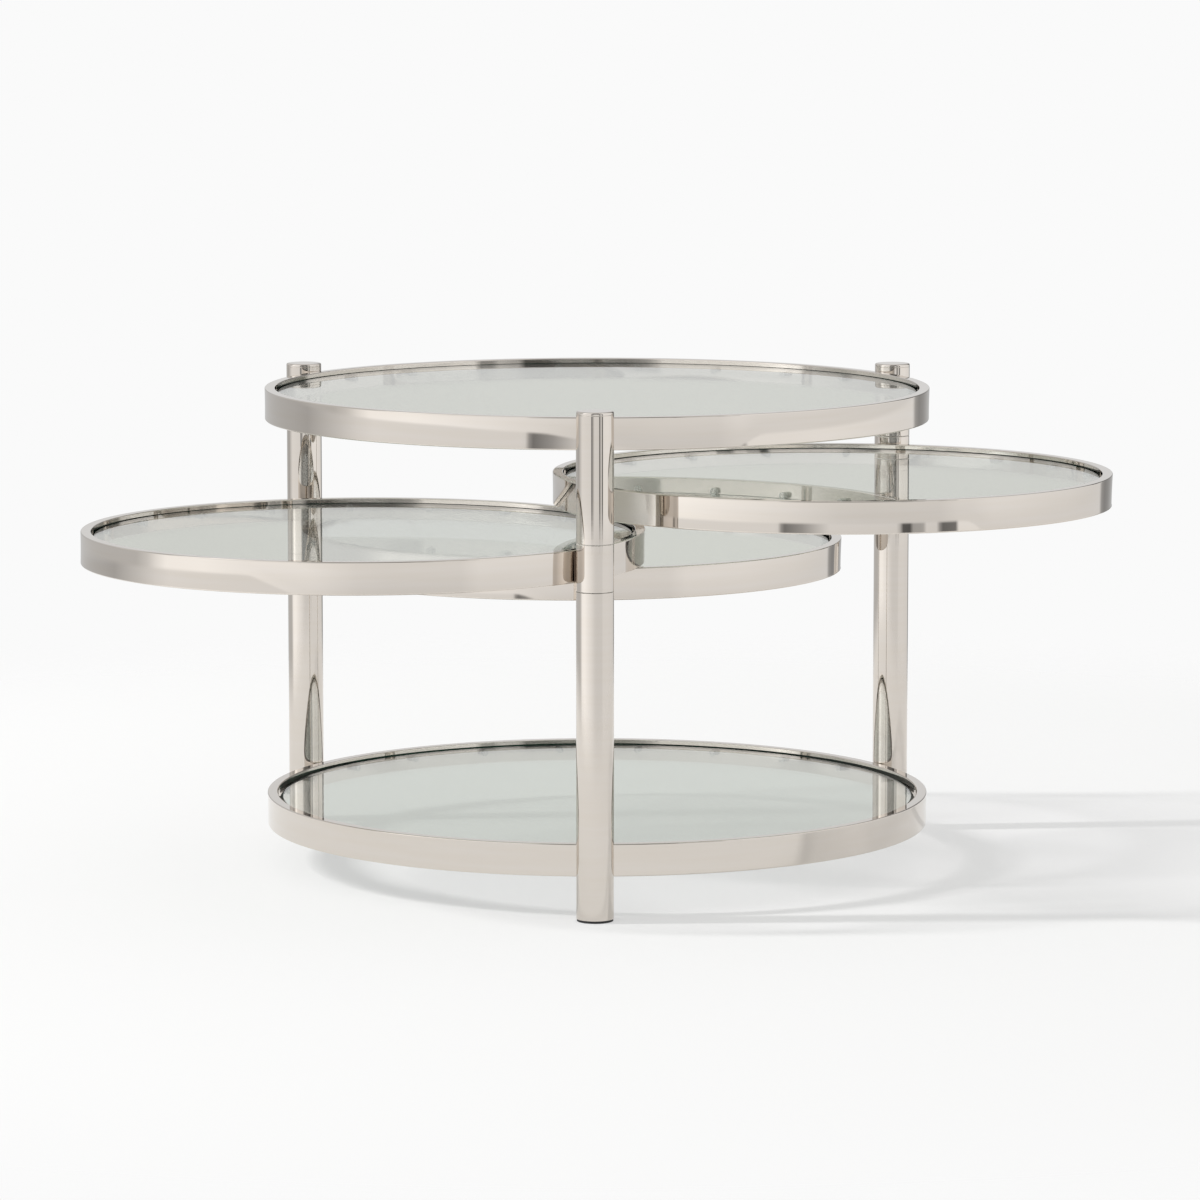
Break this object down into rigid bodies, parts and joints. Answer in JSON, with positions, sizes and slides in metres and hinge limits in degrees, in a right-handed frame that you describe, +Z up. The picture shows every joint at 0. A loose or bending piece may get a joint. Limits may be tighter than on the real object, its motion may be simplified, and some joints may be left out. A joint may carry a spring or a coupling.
{
  "type": "swivel coffee table",
  "caption": "Round polished-metal and glass coffee table whose ring trays swivel out from the legs at separate levels, between a fixed top and a fixed bottom shelf.",
  "frame": {"origin": "on the floor, on the upright axis of the fixed top and bottom rings", "axes": "+Z up, -Y towards the front leg, +X to the right seen from the front"},
  "size_m": [0.9483, 0.7468, 0.457],
  "materials": {
    "polished_nickel": "mirror polish",
    "turned_steel": "turned",
    "weld_metal": "ground and buffed",
    "clear_glass": "polished, tempered",
    "clear_sleeve": "clear soft vinyl",
    "black_pad": "matt",
    "dark_nylon": "turned nylon"
  },
  "bodies": {
    "frame": {"top_ring": "polished_nickel", "top_glass": "clear_glass", "top_glass_pins": "turned_steel", "top_glass_sleeves": "clear_sleeve", "top_ring_front_weld": "weld_metal", "top_ring_right_weld": "weld_metal", "top_ring_left_weld": "weld_metal", "bottom_ring": "polished_nickel", "bottom_glass": "clear_glass", "bottom_glass_pins": "turned_steel", "bottom_glass_sleeves": "clear_sleeve", "bottom_ring_front_weld": "weld_metal", "bottom_ring_right_weld": "weld_metal", "bottom_ring_left_weld": "weld_metal", "front_leg_foot": "black_pad", "front_leg_lower_tube": "polished_nickel", "front_leg_lower_plug": "turned_steel", "front_leg_spindle": "turned_steel", "front_leg_upper_plug": "turned_steel", "front_leg_upper_tube": "polished_nickel", "front_leg_cap": "polished_nickel", "right_leg_foot": "black_pad", "right_leg_lower_tube": "polished_nickel", "right_leg_lower_plug": "turned_steel", "right_leg_spindle": "turned_steel", "right_leg_upper_plug": "turned_steel", "right_leg_upper_tube": "polished_nickel", "right_leg_cap": "polished_nickel", "left_leg_foot": "black_pad", "left_leg_lower_tube": "polished_nickel", "left_leg_lower_plug": "turned_steel", "left_leg_spindle": "turned_steel", "left_leg_upper_plug": "turned_steel", "left_leg_upper_tube": "polished_nickel", "left_leg_cap": "polished_nickel"},
    "upper_tray": {"upper_tray_ring": "polished_nickel", "upper_tray_glass": "clear_glass", "upper_tray_glass_pins": "turned_steel", "upper_tray_glass_sleeves": "clear_sleeve", "upper_tray_weld": "weld_metal", "upper_tray_collar": "polished_nickel", "upper_tray_lower_bush": "dark_nylon", "upper_tray_upper_bush": "dark_nylon"},
    "middle_tray": {"middle_tray_ring": "polished_nickel", "middle_tray_glass": "clear_glass", "middle_tray_glass_pins": "turned_steel", "middle_tray_glass_sleeves": "clear_sleeve", "middle_tray_weld": "weld_metal", "middle_tray_collar": "polished_nickel", "middle_tray_lower_bush": "dark_nylon", "middle_tray_upper_bush": "dark_nylon"},
    "lower_tray": {"lower_tray_ring": "polished_nickel", "lower_tray_glass": "clear_glass", "lower_tray_glass_pins": "turned_steel", "lower_tray_glass_sleeves": "clear_sleeve", "lower_tray_weld": "weld_metal", "lower_tray_collar": "polished_nickel", "lower_tray_lower_bush": "dark_nylon", "lower_tray_upper_bush": "dark_nylon"}
  },
  "joints": [
    {"name": "upper_tray_swivel", "type": "hinge", "parent": "frame", "child": "upper_tray", "pos_m": [0.28557, 0.16487, 0.3], "axis": [0, 0, 1], "continuous": true},
    {"name": "middle_tray_swivel", "type": "hinge", "parent": "frame", "child": "middle_tray", "pos_m": [0, -0.32975, 0.3], "axis": [0, 0, 1], "continuous": true},
    {"name": "lower_tray_swivel", "type": "hinge", "parent": "frame", "child": "lower_tray", "pos_m": [-0.28557, 0.16487, 0.3], "axis": [0, 0, 1], "continuous": true}
  ]
}
